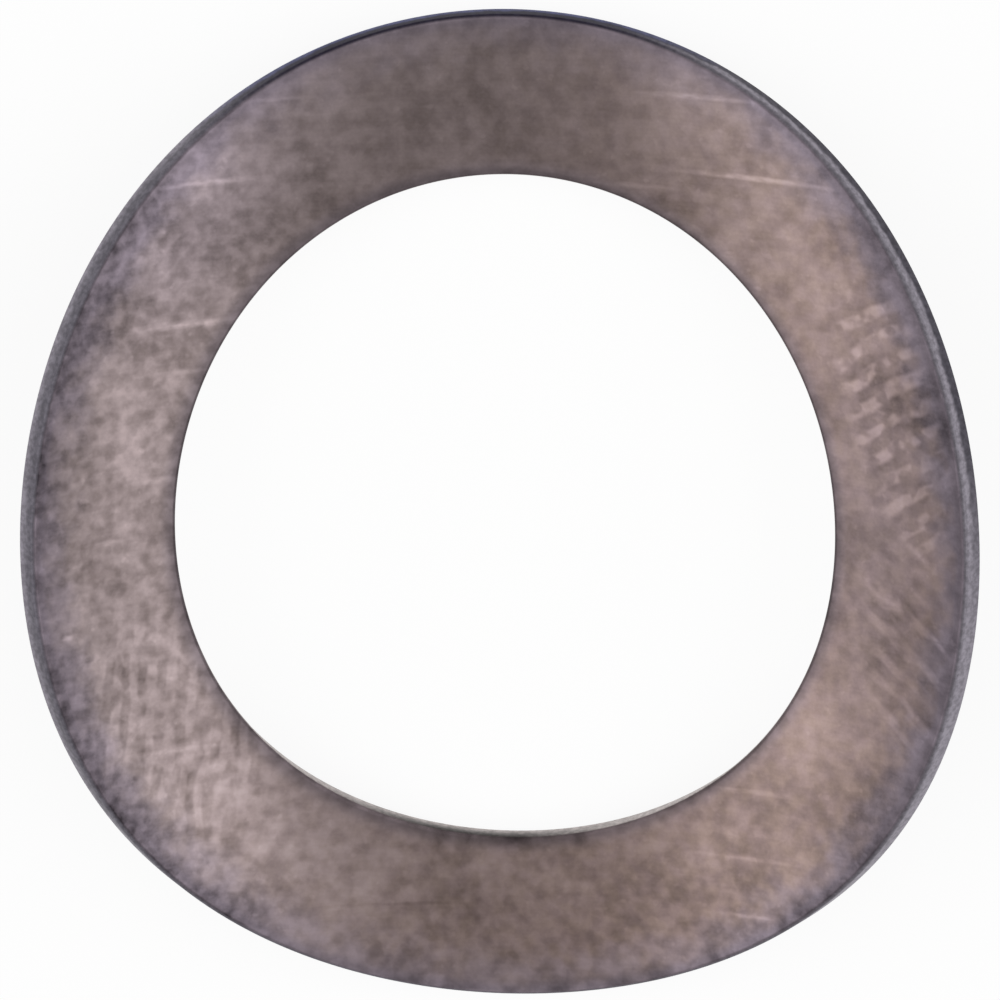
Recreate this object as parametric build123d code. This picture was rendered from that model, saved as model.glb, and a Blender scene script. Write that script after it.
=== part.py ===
from build123d import *
from math import cos, pi, sin, tan
import os

# Curved (bowed) shim washer, millimetres.  One blanked and formed piece of
# spring strip: a flat ring rolled to a single curvature, so it rocks on the
# middle of its belly and its two sides stand up.
#
# +Z up, +Y along the straight lines of the bend, +X across it.  The origin is
# at the bottom centre, where the belly touches what the washer lies on.

# --- driving sizes ----------------------------------------------------------
outer_diameter = 24.0   # of the blank, before forming
hole_diameter = 16.2    # punched in the blank
thickness = 0.5         # of the strip
bend_radius = 17.2      # of the middle of the strip's thickness
die_roll = 0.1          # round drawn in by blanking, on the hollow side's edges

# --- derived ----------------------------------------------------------------
axis_height = bend_radius + thickness / 2       # the bend's axis above the belly
side_angle = outer_diameter / 2 / bend_radius   # from the belly to a side tip
tip_height = axis_height - (bend_radius - thickness / 2) * cos(side_angle)
overcut = thickness                             # the tools pass the strip by this

SPANS = 8  # interpolated spans in a quarter of a formed edge


def formed_edge(diameter, height):
    """Where the cut wall on this circle of the blank meets the plane z = height.

    Forming carries the blank's (x, y) to the angle x / bend_radius round the
    bend's axis and leaves y alone.  A cut wall stays square to the strip, so
    each of its lines points at the axis and meets the plane at the axis's
    distance times the tangent of that angle.  The four quarters are splines
    through points of that curve, with its own slopes at their ends.
    """
    reach, r = axis_height - height, diameter / 2

    def at(a):
        return (reach * tan(r * cos(a) / bend_radius), r * sin(a), height)

    def slope(a):
        stretch = reach * (1 + tan(r * cos(a) / bend_radius) ** 2) / bend_radius
        return (-stretch * r * sin(a), r * cos(a), 0)

    quarters = []
    for quarter in range(4):
        turns = [pi / 2 * (quarter + i / SPANS) for i in range(SPANS + 1)]
        quarters.append(
            Edge.make_spline(
                [at(a) for a in turns],
                tangents=[slope(turns[0]), slope(turns[-1])],
                parameters=turns,
                scale=False,
            )
        )
    return Wire(quarters)


def cutter(diameter):
    """What lies inside a formed circle: ruled walls that converge on the axis."""
    ends = (-overcut, tip_height + overcut)
    return Solid.make_loft([formed_edge(diameter, z) for z in ends], ruled=True)


def formed_strip():
    """The strip as formed, before its outline: a trough along Y."""
    length = outer_diameter + 2 * overcut
    belly = Cylinder(bend_radius + thickness / 2, length)
    hollow = Cylinder(bend_radius - thickness / 2, length)
    return Location((0, 0, axis_height), (90, 0, 0)) * (belly - hollow)


def hollow_edges(ring):
    """The outer edge and the hole's edge on the hollow side."""
    sheets = ring.faces().filter_by(GeomType.CYLINDER).sort_by(lambda f: f.radius)
    return sheets[0].edges()


def washer():
    ring = formed_strip() & (cutter(outer_diameter) - cutter(hole_diameter))
    ring = ring.solid()
    return ring.fillet(die_roll, hollow_edges(ring)).solid()


def main():
    os.makedirs("parts", exist_ok=True)
    part = washer()
    part.label = "curved_washer"
    export_step(part, "parts/curved_washer.step")
    print("size", part.bounding_box().size, "volume", part.volume)


main()
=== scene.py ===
"""Curved shim washer: a blanked ring of tempered spring steel, formed to a single bow.

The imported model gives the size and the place; this file gives the washer its finished surface, the
floor it lies on, the studio lamps and the camera. Sizes in the panel are in metres, as Blender
keeps them; the modelling below works in millimetres and turns to metres at the end.
"""

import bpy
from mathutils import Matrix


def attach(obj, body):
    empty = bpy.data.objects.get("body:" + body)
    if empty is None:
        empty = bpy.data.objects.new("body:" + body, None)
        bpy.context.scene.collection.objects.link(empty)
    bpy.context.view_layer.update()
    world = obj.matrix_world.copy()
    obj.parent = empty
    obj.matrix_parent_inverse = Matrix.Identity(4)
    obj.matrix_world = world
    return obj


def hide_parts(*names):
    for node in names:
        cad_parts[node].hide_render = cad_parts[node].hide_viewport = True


bl_info = {
    "name": "Curved Shim Washer",
    "version": (1, 0, 0),
    "blender": (4, 5, 0),
    "location": "3D View > Sidebar > Washer",
    "description": "Makes a curved spring steel shim washer and the studio it is shown in",
    "category": "Add Mesh",
}

from math import cos, pi, radians, sin

import bmesh
import bpy
from bpy.props import FloatProperty, FloatVectorProperty, IntProperty, PointerProperty
from mathutils import Matrix, Vector

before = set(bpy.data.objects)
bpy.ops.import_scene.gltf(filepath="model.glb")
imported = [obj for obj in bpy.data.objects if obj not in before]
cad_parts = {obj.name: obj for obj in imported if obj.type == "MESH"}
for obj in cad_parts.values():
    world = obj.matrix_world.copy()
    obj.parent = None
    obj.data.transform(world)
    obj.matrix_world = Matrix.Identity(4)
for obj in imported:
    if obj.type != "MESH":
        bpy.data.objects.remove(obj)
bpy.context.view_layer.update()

MM = 0.001

# Details of the form that the panel leaves alone, in millimetres.
BELLY_ROUND = 0.012  # the round on the belly side's two edges
FLAT_BORDER = 0.02  # a narrow border on the flat sides, so that only their edges shade as round
SAME = 1e-3  # what lies closer together than this is at the same place
LEVEL = 0.999  # how near to Z a face's normal is on the flat sides


# ---------------------------------------------------------------- colours and nodes

def linear(code):
    """Turn an sRGB hex code into the linear colour that Blender works in."""
    levels = [int(code[place:place + 2], 16) / 255 for place in (1, 3, 5)]
    return tuple(v / 12.92 if v <= 0.04045 else ((v + 0.055) / 1.055) ** 2.4 for v in levels)


def add(tree, kind, inputs=(), output=0, **settings):
    """Add one node with its settings, fill or link its inputs (by name or in order), and give
    back one of its outputs."""
    made = tree.nodes.new(kind)
    for name, value in settings.items():
        setattr(made, name, value)
    for socket, value in (inputs.items() if isinstance(inputs, dict) else enumerate(inputs)):
        if isinstance(value, bpy.types.NodeSocket):
            tree.links.new(value, made.inputs[socket])
        else:
            made.inputs[socket].default_value = value
    return made.outputs[output] if made.outputs else made


# ---------------------------------------------------------------- what a user may change

class WasherSizes(bpy.types.PropertyGroup):
    """Sizes of the washer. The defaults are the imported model's own."""

    outer_diameter: FloatProperty(
        name="Outer diameter", description="Outer diameter of the flat blank",
        default=24.0 * MM, unit="LENGTH")
    hole_diameter: FloatProperty(
        name="Hole diameter", description="Hole diameter in the flat blank",
        default=16.2 * MM, unit="LENGTH")
    thickness: FloatProperty(
        name="Thickness", description="Thickness of the strip",
        default=0.5 * MM, unit="LENGTH")
    bend_radius: FloatProperty(
        name="Bend radius", description="Radius of the bow, to the middle of the strip",
        default=17.2 * MM, unit="LENGTH")
    die_roll: FloatProperty(
        name="Die roll", description="Rounding that blanking leaves on the hollow side's edges",
        default=0.1 * MM, unit="LENGTH")
    steps: IntProperty(
        name="Steps", description="Steps round the ring", default=360, min=48)


class WasherLook(bpy.types.PropertyGroup):
    """Colours of the washer and its stage."""

    face: FloatVectorProperty(
        name="Face", description="Brown temper colour of the strip", subtype="COLOR",
        default=linear("#8d7a77"))
    face_tan: FloatVectorProperty(
        name="Tan face", description="Straw-brown flecks in the temper colour", subtype="COLOR",
        default=linear("#8e7b74"))
    face_cool: FloatVectorProperty(
        name="Cool face", description="Greyer temper colour on the -X side", subtype="COLOR",
        default=linear("#8b7e7e"))
    rim: FloatVectorProperty(
        name="Rim", description="Violet temper colour at the edges", subtype="COLOR",
        default=linear("#8b808a"))
    land: FloatVectorProperty(
        name="Burnished land", description="Smooth part of the outer cut wall", subtype="COLOR",
        default=linear("#938e97"))
    torn: FloatVectorProperty(
        name="Torn wall", description="Fractured part of the outer cut wall", subtype="COLOR",
        default=linear("#55525a"))
    # The blue-black on the outer wall at +Y is painted shade.
    painted_shade_blue_black: FloatVectorProperty(
        name="Blue-black wall", description="Wall at +Y painted dark as shade", subtype="COLOR",
        default=linear("#2e2a38"))
    blue: FloatVectorProperty(
        name="Blue wall", description="Blue temper colour under the blue-black", subtype="COLOR",
        default=linear("#54577c"))
    hole_wall: FloatVectorProperty(
        name="Hole wall", description="Bare wall of the hole", subtype="COLOR",
        default=linear("#b9b1af"))
    floor: FloatVectorProperty(
        name="Floor", description="Paper that the washer lies on", subtype="COLOR",
        default=linear("#f6f6f6"))


# ---------------------------------------------------------------- the washer

def span(edge):
    """How far an edge goes outwards from the middle of the ring, and how far up."""
    start, end = (vert.co for vert in edge.verts)
    return abs(start.xy.length - end.xy.length), abs(start.z - end.z)


def blank(sizes):
    """The flat ring in millimetres, hollow side up, with its die roll and cut walls."""
    hole = sizes.hole_diameter / MM / 2
    outer = sizes.outer_diameter / MM / 2
    thick = sizes.thickness / MM
    bm = bmesh.new()
    section = [bm.verts.new(corner) for corner in
               ((hole, 0, 0), (outer, 0, 0), (outer, 0, thick), (hole, 0, thick))]
    for place in range(4):
        bm.edges.new((section[place - 1], section[place]))
    bmesh.ops.spin(bm, geom=bm.verts[:] + bm.edges[:], cent=(0, 0, 0), axis=(0, 0, 1),
                   angle=2 * pi, steps=sizes.steps, use_merge=True)
    bmesh.ops.remove_doubles(bm, verts=bm.verts, dist=1e-4)
    bmesh.ops.recalc_face_normals(bm, faces=bm.faces)

    def rims(height):
        """Edges that run round the ring at one height, on a wall."""
        return [edge for edge in bm.edges
                if all(abs(v.co.z - height) < SAME for v in edge.verts) and span(edge)[0] < SAME]

    for height, offset, segments in ((thick, sizes.die_roll / MM, 6), (0.0, BELLY_ROUND, 2)):
        bmesh.ops.bevel(bm, geom=rims(height), offset=offset, segments=segments, profile=0.5,
                        affect="EDGES", offset_type="OFFSET", material=-1)
    bm.normal_update()
    for side in (1, -1):
        flat = [face for face in bm.faces if face.normal.z * side > LEVEL]
        bmesh.ops.inset_region(bm, faces=flat, thickness=FLAT_BORDER, use_even_offset=True)
    bm.normal_update()
    # Rows of faces across the flat sides, so that they bow evenly, and down the walls.
    across = [edge for edge in bm.edges
              if span(edge)[0] > 1.0 and all(abs(f.normal.z) > LEVEL for f in edge.link_faces)]
    bmesh.ops.subdivide_edges(bm, edges=across, cuts=9, use_grid_fill=True)
    down = [edge for edge in bm.edges if span(edge)[1] > 0.4 * thick]
    bmesh.ops.subdivide_edges(bm, edges=down, cuts=6, use_grid_fill=True)
    return bm


def washer_mesh(sizes):
    """The blank with its flat place kept on each point, then formed to its bow, in metres."""
    thick = sizes.thickness / MM
    bend = sizes.bend_radius / MM
    bm = blank(sizes)
    flat = bm.verts.layers.float_vector.new("flat")
    for vert in bm.verts:
        vert[flat] = vert.co
        x, y, z = vert.co
        radius = bend + thick / 2 - z
        vert.co = (radius * sin(x / bend), y, bend + thick / 2 - radius * cos(x / bend))
    bmesh.ops.scale(bm, vec=(MM, MM, MM), verts=bm.verts)
    bmesh.ops.recalc_face_normals(bm, faces=bm.faces)
    for face in bm.faces:
        face.smooth = True
    mesh = bpy.data.meshes.new("washer")
    bm.to_mesh(mesh)
    bm.free()
    return mesh


# Soft ovals on the flat sides, in millimetres on the flat blank: middle x and y, half length,
# half width, turn in degrees, and how much lighter (above zero) or darker the steel is there.
# The first are the clouds that the tempering oven left, and one painted shade along the hole's die
# roll at -Y; the others are rub and knock marks.
OVEN_CLOUDS_AND_SHADE = (
    (8.3, -3.9, 9.4, 3.8, 94, -0.30),
    (-4.4, 7.8, 11.5, 3.1, 34, -0.28),
    (-7.8, -0.7, 4.6, 4.1, 107, -0.17),
    (9.5, 3.5, 3.5, 1.6, 9, -0.19),
    (4.9, -10.9, 2.6, 3.3, 28, -0.06),
    (7.6, -4.6, 3.8, 4.6, 89, 0.30),
    (-1.1, -10.6, 2.0, 1.7, 21, -0.13),
    (-5.1, -8.2, 8.3, 1.9, -36, 0.20),
    (2.2, 6.4, 5.2, 5.9, 68, -0.32),
    # Painted shade along the hole's die roll at -Y.
    (0.0, -8.1, 2.2, 0.4, 0, -0.35),
    (-8.0, 8.4, 3.6, 1.3, 43, 0.12),
    (5.3, -6.4, 2.6, 1.0, 40, -0.17),
    (7.2, -8.2, 2.8, 1.0, 40, 0.21),
    (-8.4, -7.1, 2.4, 0.9, -50, 0.16),
    (-9.3, 3.4, 2.6, 1.3, 70, 0.13),
    (4.2, 7.4, 2.0, 0.7, -30, -0.12),
    (10.1, -2.7, 2.6, 1.3, 78, -0.15),
    (11.0, 3.7, 2.0, 0.8, 107, -0.13),
    (7.9, 2.9, 1.5, 0.6, 110, -0.15),
    (-8.9, -3.2, 1.6, 0.6, -70, 0.13),
)
RUB_MARKS = (
    (-5.7, 10.10, 1.3, 0.09, 0.0, 0.20),
    (-7.2, 8.22, 1.7, 0.12, 0.3, 0.38),
    (-8.1, 4.83, 2.2, 0.14, -0.4, 0.38),
    (-8.0, 3.68, 1.4, 0.10, 0.0, 0.18),
    (-8.6, 1.12, 0.8, 0.12, 0.0, 0.28),
    (-9.9, -0.25, 0.8, 0.10, 0.0, 0.22),
    (4.6, 10.27, 2.0, 0.11, 0.6, 0.42),
    (6.0, 8.44, 2.8, 0.11, 0.2, 0.46),
    (3.0, 8.00, 1.5, 0.10, -0.5, 0.20),
    (6.1, -6.55, 1.5, 0.10, 0.5, 0.26),
    (5.7, -8.20, 1.9, 0.10, 0.0, 0.24),
    (5.9, -9.62, 1.3, 0.10, -1.0, 0.28),
    (-6.6, -3.90, 1.1, 0.11, 0.0, 0.20),
    (-8.0, -5.55, 1.8, 0.10, 0.0, 0.22),
    (10.60, -0.05, 0.85, 0.16, -32.0, 0.26),
    (9.60, -1.30, 0.70, 0.15, -24.0, 0.20),
    (11.15, -2.05, 0.55, 0.12, -40.0, 0.40),
    (-11.0, -2.40, 0.26, 0.12, 0.0, 0.50),
    (-2.8, -9.75, 2.6, 0.08, 0.2, -0.22),
)
# Where tumbling left ribs: their turn in degrees, their spacing, the darkest and the lightest, the
# oval that they fill (middle, half length, half width, turn), and how many times longer than wide
# the gaps in them are.
RIBS = (
    (33, 0.60, -0.09, 0.28, (9.8, 3.2), 4.4, 1.6, -70, 1.0),
    (-35, 0.60, -0.05, 0.14, (10.1, -2.6), 3.4, 1.5, -80, 2.6),
    (84, 0.50, -0.14, 0.07, (-8.1, -5.1), 4.0, 2.4, -52, 1.1),
)
# Violet blooms in the heat tint: middle, half length, half width, turn and strength.
BLOOMS = (
    ((-7.8, 7.5), 5.5, 3.0, 45, 0.36),
    ((9.6, 0.8), 9.5, 3.2, 90, 0.28),
)

# The kinds of node used most. STEP takes a value, the two values that it steps between and its
# results at those two. MIX takes a share and the colours at shares 0 and 1.
MATH, VECTOR, MIX = "ShaderNodeMath", "ShaderNodeVectorMath", "ShaderNodeMix"
STEP, SOFT = "ShaderNodeMapRange", {"interpolation_type": "SMOOTHSTEP"}
COLOURS = {"data_type": "RGBA", "output": 2}
SHARE, FIRST, SECOND = 0, 6, 7


def cloud(tree, flat, size, low, high, detail=1.5, turn=0.0, stretch=1.0, start=0.3, end=0.7):
    """Patches on the flat blank, size mm wide, stretched along a direction, from low to high."""
    spot = add(tree, "ShaderNodeMapping", {
        "Vector": flat, "Rotation": (0, 0, radians(turn)), "Scale": (size * stretch, size, size)},
        vector_type="TEXTURE")
    value = add(tree, "ShaderNodeTexNoise", {"Vector": spot, "Scale": 1.0, "Detail": detail})
    return add(tree, STEP, (value, start, end, low, high), **SOFT)


def oval(tree, flat, place, length, width, turn, strength, start=1.0, end=0.0):
    """A soft oval round a place on the flat blank, right through the strip: 0 at start, strength
    at end, both as shares of the oval's half length and half width."""
    spot = add(tree, "ShaderNodeMapping", {
        "Vector": flat, "Location": (*place, 0), "Rotation": (0, 0, radians(turn)),
        "Scale": (length, width, 1e3)}, vector_type="TEXTURE")
    away = add(tree, VECTOR, (spot,), output="Value", operation="LENGTH")
    return add(tree, STEP, (away, start, end, 0.0, strength), **SOFT)


def ribs(tree, flat, turn, period, low, high, place, length, width, slope, breaks):
    """Broken ribs, one every period mm along a direction, inside a soft oval on the blank."""
    # The texture's bands come every pi / 10 at scale 1.
    spot = add(tree, "ShaderNodeMapping", {"Vector": flat, "Rotation": (0, 0, radians(turn))},
               vector_type="TEXTURE")
    wave = add(tree, "ShaderNodeTexWave", {
        "Vector": spot, "Scale": pi / 10 / period, "Distortion": 3.0, "Detail": 1.0,
        "Detail Scale": 1.4}, output="Fac", bands_direction="Y")
    wave = add(tree, STEP, (wave, 0.2, 0.9, low, high), **SOFT)
    gaps = cloud(tree, flat, 0.38, 0.0, 1.35, 1.0, turn, stretch=breaks, start=0.38, end=0.60)
    wave = add(tree, MATH, (wave, gaps), operation="MULTIPLY")
    reach = oval(tree, flat, place, length, width, slope, 1.0, end=0.5)
    return add(tree, MATH, (wave, reach), operation="MULTIPLY")


def face_shade(tree, flat, x, y):
    """How much lighter or darker than its mean the flat side is, as a share of its colour."""
    # Oxide blotches about 0.3 to 1.3 mm wide, fainter towards +X and +Y.
    shade = cloud(tree, flat, 0.30, -0.08, 0.08)
    for size, depth in ((0.60, 0.14), (1.3, 0.12)):
        shade = add(tree, MATH, (shade, cloud(tree, flat, size, -depth, depth)), operation="ADD")
    reach = add(tree, MATH, (x, 1.5, y), operation="MULTIPLY_ADD")
    reach = add(tree, STEP, (reach, 7.0, -7.0, 0.62, 1.0), **SOFT)
    shade = add(tree, MATH, (shade, reach), operation="MULTIPLY")
    # Flaked oxide: patches of a third of a millimetre with firmer edges, mostly at -X and -Y.
    flakes = cloud(tree, flat, 0.36, -0.05, 0.05, 1.0, start=0.42, end=0.58)
    where = add(tree, MATH, (x, 0.8, y), operation="MULTIPLY_ADD")
    where = add(tree, STEP, (where, 4.0, -7.0, 0.1, 1.0), **SOFT)
    shade = add(tree, MATH, (flakes, where, shade), operation="MULTIPLY_ADD")
    # On the -X side dark spots stand in a lighter ground, most of all at +Y.
    spots = cloud(tree, flat, 0.6, 0.0, -0.12, 0.5, start=0.50, end=0.64)
    spots = add(tree, MATH, (spots, add(tree, STEP, (x, -4.0, -8.0), **SOFT)),
                operation="MULTIPLY")
    spots = add(tree, MATH, (spots, add(tree, STEP, (y, -4.0, 2.0, 0.7, 1.4), **SOFT)),
                operation="MULTIPLY")
    # Parts tumbled against each other leave short ribs, and the oxide has light flecks. The mill
    # leaves fine lines along X. The steel's grain is too fine to see at this size, so it and the
    # lines are drawn coarser, at about a tenth of a millimetre.
    flecks = cloud(tree, flat, 0.26, 0.0, 0.11, 1.0, start=0.64, end=0.76)
    grain = cloud(tree, flat, 0.08, -0.03, 0.03, 1.0)
    mill_lines = cloud(tree, flat, 0.10, -0.02, 0.02, 1.0, stretch=14)
    for pattern in (spots, *(ribs(tree, flat, *patch) for patch in RIBS), flecks, grain, mill_lines):
        shade = add(tree, MATH, (shade, pattern), operation="ADD")
    for place_x, place_y, *form in OVEN_CLOUDS_AND_SHADE:
        cloud_and_shade = oval(tree, flat, (place_x, place_y), *form)
        shade = add(tree, MATH, (shade, cloud_and_shade), operation="ADD")
    marks = 0.0
    for place_x, place_y, *form in RUB_MARKS:
        mark = oval(tree, flat, (place_x, place_y), *form)
        marks = add(tree, MATH, (marks, mark), operation="ADD")
    # Rubbing only took the oxide off in places, so the marks come and go along their length.
    worn = cloud(tree, flat, 0.12, 0.6, 1.25, 1.0, stretch=3.0)
    return add(tree, MATH, (marks, worn, shade), operation="MULTIPLY_ADD")


def face_colour(tree, look, flat, x, y, rim_gap, hole_gap, shade):
    """Heat tint of the flat sides: straw-brown, greyer at -X, violet and darker at the edges; the
    outer rim's darkening is painted shade.
    """
    straw = cloud(tree, flat, 0.45, 0.0, 1.0, 2.0)
    colour = add(tree, MIX, {SHARE: straw, FIRST: (*look.face, 1), SECOND: (*look.face_tan, 1)},
                 **COLOURS)
    slant = add(tree, MATH, (x, -0.9, add(tree, MATH, (y, 0.4), operation="MULTIPLY")),
                operation="MULTIPLY_ADD")
    cool = add(tree, STEP, (slant, -8.0, 8.5), **SOFT)
    cool = add(tree, MATH, (shade, 0.5, cool), operation="MULTIPLY_ADD", use_clamp=True)
    colour = add(tree, MIX, {SHARE: cool, FIRST: colour, SECOND: (*look.face_cool, 1)}, **COLOURS)

    ragged = add(tree, MATH, (rim_gap, cloud(tree, flat, 0.9, -0.25, 0.25, 2.0)), operation="ADD")
    near_hole = add(tree, STEP, (hole_gap, 0.5, 0.0, 0.0, 0.5), **SOFT)
    sides = add(tree, MATH, (x,), operation="ABSOLUTE")
    violet = add(tree, MATH, (add(tree, STEP, (ragged, 1.4, 0.0), **SOFT),
                              add(tree, STEP, (sides, 4.0, 9.0, 0.55, 0.95), **SOFT),
                              near_hole), operation="MULTIPLY_ADD")
    for bloom in BLOOMS:
        violet = add(tree, MATH, (violet, oval(tree, flat, *bloom)), operation="ADD")
    violet = add(tree, MATH, (violet, add(tree, STEP, (rim_gap, 0.4, 0.1, 0.0, 0.35), **SOFT)),
                 operation="ADD", use_clamp=True)
    colour = add(tree, MIX, {SHARE: violet, FIRST: colour, SECOND: (*look.rim, 1)}, **COLOURS)

    # Painted shade darkens the outer rim at both ends of the bow, a little more at -X, and a narrow
    # band at the very rim.
    # The oxide is thicker, so darker, right at the hole, more so at -X than at +Y.
    dark = add(tree, MATH, (add(tree, STEP, (sides, 3.5, 8.0, 0.0, -0.31), **SOFT),
                            add(tree, STEP, (x, -3.0, -9.0, 0.0, -0.07), **SOFT)), operation="ADD")
    level = add(tree, MATH, (dark, add(tree, STEP, (ragged, 2.0, 0.0), **SOFT), shade),
                operation="MULTIPLY_ADD")
    # Painted shade: a narrow band at the very rim is darker, most at -Y.
    band = add(tree, MATH, (add(tree, STEP, (rim_gap, 0.50, 0.10), **SOFT),
                            add(tree, STEP, (y, -4.0, -9.0, -0.12, -0.20), **SOFT), 1.0),
               operation="MULTIPLY_ADD")
    level = add(tree, MATH, (level, band), operation="ADD")
    width = add(tree, MATH, (add(tree, STEP, (x, 4.0, -6.0, 0.36, 0.60), **SOFT),
                             add(tree, STEP, (y, 4.0, 8.0, 0.0, -0.16), **SOFT)),
                operation="ADD")
    dull = add(tree, MATH, (hole_gap, width), operation="DIVIDE")
    dull = add(tree, STEP, (dull, 0.0, 1.0, 0.53, 1.0), **SOFT)
    level = add(tree, MATH, (level, dull), operation="MULTIPLY")
    return add(tree, VECTOR, {0: colour, "Scale": level}, operation="SCALE")


def wall_colour(tree, look, flat, x, y, z, rim_gap):
    """Cut walls: a burnished land and torn metal, with a ragged line between them."""
    height = add(tree, MATH, (z, cloud(tree, flat, 0.5, -0.06, 0.06, 2.0, start=0.2, end=0.8)),
                 operation="ADD")
    # At +X the land lies under the die roll, and the torn metal below it only shows towards +Y.
    land = add(tree, VECTOR, {0: look.land, "Scale": add(
        tree, STEP, (z, 0.35, 0.47, 1.0, 0.58), **SOFT)}, operation="SCALE")
    torn = add(tree, MIX, {SHARE: add(tree, STEP, (y, -2.5, 3.5), **SOFT),
                           FIRST: (*look.land, 1), SECOND: (*look.torn, 1)}, **COLOURS)
    east = add(tree, MIX, {SHARE: add(tree, STEP, (height, 0.18, 0.30), **SOFT),
                           FIRST: torn, SECOND: land}, **COLOURS)
    # At -X the wall is duller, and lighter towards the belly; at +Y it is painted shade, blue-black
    # over blue.
    west = add(tree, MIX, {SHARE: add(tree, STEP, (height, 0.34, 0.02, 0.33, 1.0), **SOFT),
                           FIRST: (*look.torn, 1), SECOND: (*look.land, 1)}, **COLOURS)
    north_painted_shade = add(tree, MIX, {SHARE: add(tree, STEP, (height, 0.06, 0.28), **SOFT),
                            FIRST: (*look.blue, 1), SECOND: (*look.painted_shade_blue_black, 1)}, **COLOURS)
    rim = add(tree, MIX, {SHARE: add(tree, STEP, (x, 2.0, -2.0), **SOFT),
                          FIRST: east, SECOND: west}, **COLOURS)
    # Painted shade: the outer wall at +Y turns blue-black over blue.
    far = add(tree, MATH, (x, -0.12, y), operation="MULTIPLY_ADD")
    rim = add(tree, MIX, {SHARE: add(tree, STEP, (far, 9.9, 11.7), **SOFT),
                          FIRST: rim, SECOND: north_painted_shade}, **COLOURS)
    # The hole's wall is bare and bright; painted shade darkens it towards its die roll at -Y.
    aside = add(tree, MATH, (add(tree, MATH, (x, 1.0), operation="ADD"),), operation="ABSOLUTE")
    hole_painted_shade = add(tree, MATH, (add(tree, STEP, (aside, 4.2, 0.8, 0.0, -0.8), **SOFT),
                           add(tree, STEP, (z, 0.0, 0.42), **SOFT), 1.0),
              operation="MULTIPLY_ADD")
    hole_painted_shade = add(tree, MATH, (hole_painted_shade, add(tree, STEP, (y, 0.0, -4.0, 1.0, 0.0), **SOFT)),
              operation="MAXIMUM")
    hole = add(tree, VECTOR, {0: look.hole_wall, "Scale": hole_painted_shade}, operation="SCALE")
    on_rim = add(tree, STEP, (rim_gap, 3.0, 1.0), **SOFT)
    colour = add(tree, MIX, {SHARE: on_rim, FIRST: hole, SECOND: rim}, **COLOURS)
    speckle = cloud(tree, flat, 0.12, 0.8, 1.2, 2.0)
    return add(tree, VECTOR, {0: colour, "Scale": speckle}, operation="SCALE")


def bare_material(name):
    """A new material without any nodes."""
    material = bpy.data.materials.new(name)
    material.use_nodes = True
    material.node_tree.nodes.clear()
    return material


def tempered_steel(look, sizes):
    """Tempered spring steel strip: cold rolled, blanked, formed, and heat tinted in the oven.

    Rolling gives the satin gloss and its faint lines; tempering gives the oxide its brown, grey
    and violet, in soft blotches; blanking gives the walls their bright land and dark torn part.
    """
    material = bare_material("tempered_spring_steel")
    tree = material.node_tree

    # Places on the flat blank in millimetres, kept on the points, so patterns bow with the strip.
    flat = add(tree, "ShaderNodeAttribute", output="Vector", attribute_name="flat")
    x, y, z = (add(tree, "ShaderNodeSeparateXYZ", (flat,), output=axis) for axis in "XYZ")
    plan = add(tree, VECTOR, (flat, (1, 1, 0)), operation="MULTIPLY")
    radius = add(tree, VECTOR, (plan,), output="Value", operation="LENGTH")
    rim_gap = add(tree, MATH, (sizes.outer_diameter / MM / 2, radius), operation="SUBTRACT")
    hole_gap = add(tree, MATH, (radius, sizes.hole_diameter / MM / 2), operation="SUBTRACT")

    shade = face_shade(tree, flat, x, y)
    face = face_colour(tree, look, flat, x, y, rim_gap, hole_gap, shade)
    wall = wall_colour(tree, look, flat, x, y, z, rim_gap)
    # The rim's wall colours fade out over its die roll, the hole's over a third of its own.
    edge = add(tree, MATH, (add(tree, MATH, (rim_gap, 0.35), operation="MULTIPLY"), hole_gap),
               operation="MINIMUM")
    on_wall = add(tree, STEP, (edge, 0.03, 0.005), **SOFT)
    colour = add(tree, MIX, {SHARE: on_wall, FIRST: face, SECOND: wall}, **COLOURS)

    # Satin from the rolls, a little rougher where the oxide is thick, and most on the cut walls
    # and their die roll.
    rough = add(tree, STEP, (shade, -0.5, 0.5, 0.40, 0.32), **SOFT)
    edge = add(tree, MATH, (rim_gap, hole_gap), operation="MINIMUM")
    rough = add(tree, MATH, (add(tree, STEP, (edge, 0.12, 0.07), **SOFT), 0.22, rough),
                operation="MULTIPLY_ADD")
    # The mill's lines show again as the faintest relief, a micrometre deep at most.
    normal = add(tree, "ShaderNodeBump", {
        "Height": cloud(tree, flat, 0.10, 0.0, 1.0, 1.0, stretch=10), "Strength": 0.4,
        "Distance": 1e-6})
    steel = add(tree, "ShaderNodeBsdfPrincipled", {
        "Base Color": colour, "Metallic": 1.0, "Roughness": rough, "Normal": normal})
    add(tree, "ShaderNodeOutputMaterial", {"Surface": steel})
    return material


def put(scene, name, data):
    """Put a new object into the scene, at its origin."""
    piece = bpy.data.objects.new(name, data)
    scene.collection.objects.link(piece)
    return piece


class WASHER_OT_ring(bpy.types.Operator):
    """Make the washer in place of its plain solid"""

    bl_idname = "washer.ring"
    bl_label = "Washer"

    def execute(self, context):
        sizes, look = context.scene.washer_sizes, context.scene.washer_look
        piece = put(context.scene, "washer", washer_mesh(sizes))
        piece.data.materials.append(tempered_steel(look, sizes))
        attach(piece, "root")
        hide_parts("curved_washer")
        return {"FINISHED"}


# ---------------------------------------------------------------- the studio

FLOOR_REACH = 2.0  # from the middle of the floor to its edges, in metres
FLOOR_WHITE = 0.9  # plain white in the floor as it is seen; the rest takes the light and shadow
SKY_GLOW = 0.6  # strength of the plain white world

# Long lamps beside the washer, parallel to Y: towards +X or -X, lean from overhead in degrees, width
# in metres, and how bright each looks beside a white sky of strength 1.
LAMPS = {"lamp_right": (1, 52, 0.367, 1.25), "lamp_left": (-1, 51, 0.425, 0.95)}
LAMP_LENGTH = 1.6  # metres
LAMP_DISTANCE = 0.6  # metres from the washer

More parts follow.
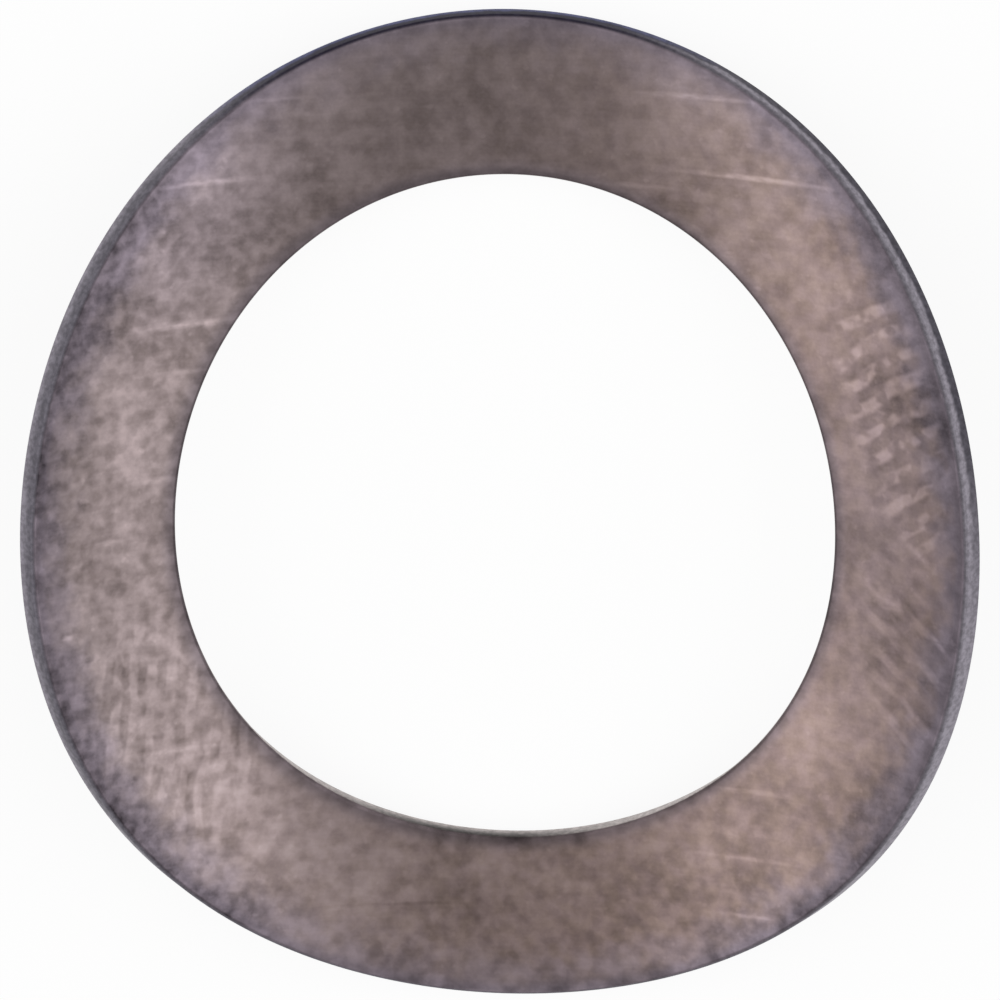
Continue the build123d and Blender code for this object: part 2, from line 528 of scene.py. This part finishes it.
# The camera looks down on the belly from far off: the way to it, a small turn round Z in radians,
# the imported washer's outer radius beside its distance and beside the frame's width, and its shift.
CAMERA_WAY = (0.0678, 0.3097, 1.0)
CAMERA_TURN = -0.0112
OUTER_RADIUS = 12.0 * MM
RADIUS_TO_DISTANCE = 0.0175
RADIUS_TO_FRAME = 0.51248
CAMERA_SHIFT = (-0.0110, 0.00406)
BELLY_MIDDLE = (0, 0, 0.25 * MM)


def matt_paper(look):
    """Matt white paper: it takes the light softly, and looks white where it is seen or mirrored."""
    material = bare_material("matt_paper")
    tree = material.node_tree
    ray = add(tree, "ShaderNodeLightPath").node.outputs
    seen = add(tree, MATH, (ray["Is Camera Ray"], ray["Is Glossy Ray"]), operation="ADD")
    seen = add(tree, MATH, (seen, ray["Is Transmission Ray"]), operation="ADD", use_clamp=True)
    share = add(tree, MATH, (seen, FLOOR_WHITE), operation="MULTIPLY")
    matt = add(tree, "ShaderNodeBsdfDiffuse", {"Color": (*look.floor, 1)})
    white = add(tree, "ShaderNodeEmission", {"Color": (1, 1, 1, 1), "Strength": 1.0})
    mixed = add(tree, "ShaderNodeMixShader", {0: share, 1: matt, 2: white})
    add(tree, "ShaderNodeOutputMaterial", {"Surface": mixed})
    return material


def lay_floor(scene, look):
    """A wide sheet of paper at the height that the washer rests on."""
    bm = bmesh.new()
    bmesh.ops.create_grid(bm, x_segments=1, y_segments=1, size=FLOOR_REACH)
    sheet = bpy.data.meshes.new("floor")
    bm.to_mesh(sheet)
    bm.free()
    sheet.materials.append(matt_paper(look))
    floor = put(scene, "floor", sheet)


def hang_lamp(scene, name, side, lean, width, glow):
    """A long lamp that faces the washer, as bright as a sky of strength glow."""
    light = bpy.data.lights.new(name, "AREA")
    light.shape = "RECTANGLE"
    light.size, light.size_y = width, LAMP_LENGTH
    light.energy = glow * pi * width * LAMP_LENGTH
    along = Vector((0, 1, 0))
    way = Vector((side * sin(radians(lean)), 0, cos(radians(lean))))
    turn = Matrix((along.cross(way), along, way)).transposed().to_4x4()
    lamp = put(scene, name, light)
    lamp.matrix_world = Matrix.Translation(way * LAMP_DISTANCE) @ turn
    lamp.visible_camera = False


def set_camera(scene):
    """A camera with a long lens, so that the washer is seen nearly without perspective."""
    way = Vector(CAMERA_WAY).normalized()
    way.rotate(Matrix.Rotation(CAMERA_TURN, 3, "Z"))
    up = (Vector((0, 1, 0)) - way * way.y).normalized()
    turn = Matrix((up.cross(way), up, way)).transposed().to_4x4()
    camera = bpy.data.cameras.new("camera")
    camera.sensor_width = 36.0
    camera.lens = camera.sensor_width * RADIUS_TO_FRAME / RADIUS_TO_DISTANCE
    camera.shift_x, camera.shift_y = CAMERA_SHIFT
    eye = put(scene, "camera", camera)
    eye.matrix_world = Matrix.Translation(
        Vector(BELLY_MIDDLE) + way * (OUTER_RADIUS / RADIUS_TO_DISTANCE)) @ turn
    scene.camera = eye


class WASHER_OT_stage(bpy.types.Operator):
    """Lay the floor, hang the lamps and set the camera"""

    bl_idname = "washer.stage"
    bl_label = "Stage"

    def execute(self, context):
        scene = context.scene
        lay_floor(scene, scene.washer_look)
        world = bpy.data.worlds.new("studio")
        world.use_nodes = True
        background = world.node_tree.nodes["Background"].inputs
        background["Color"].default_value = (1, 1, 1, 1)
        background["Strength"].default_value = SKY_GLOW
        scene.world = world
        for name, lamp in LAMPS.items():
            hang_lamp(scene, name, *lamp)
        set_camera(scene)
        scene.view_settings.view_transform = "Standard"
        return {"FINISHED"}


class WASHER_PT_panel(bpy.types.Panel):
    """Sizes, colours and steps of the washer"""

    bl_label = "Curved shim washer"
    bl_idname = "WASHER_PT_panel"
    bl_space_type = "VIEW_3D"
    bl_region_type = "UI"
    bl_category = "Washer"

    def draw(self, context):
        layout = self.layout
        for group in (context.scene.washer_sizes, context.scene.washer_look):
            for name in group.__annotations__:
                layout.prop(group, name)
        layout.operator(WASHER_OT_ring.bl_idname)
        layout.operator(WASHER_OT_stage.bl_idname)


CLASSES = (WasherSizes, WasherLook, WASHER_OT_ring, WASHER_OT_stage, WASHER_PT_panel)


def register():
    for cls in CLASSES:
        bpy.utils.register_class(cls)
    bpy.types.Scene.washer_sizes = PointerProperty(type=WasherSizes)
    bpy.types.Scene.washer_look = PointerProperty(type=WasherLook)


def unregister():
    del bpy.types.Scene.washer_look
    del bpy.types.Scene.washer_sizes
    for cls in reversed(CLASSES):
        bpy.utils.unregister_class(cls)


def main():
    """Make the washer and its stage."""
    register()
    bpy.ops.washer.ring()
    bpy.ops.washer.stage()


if __name__ == "__main__":
    main()
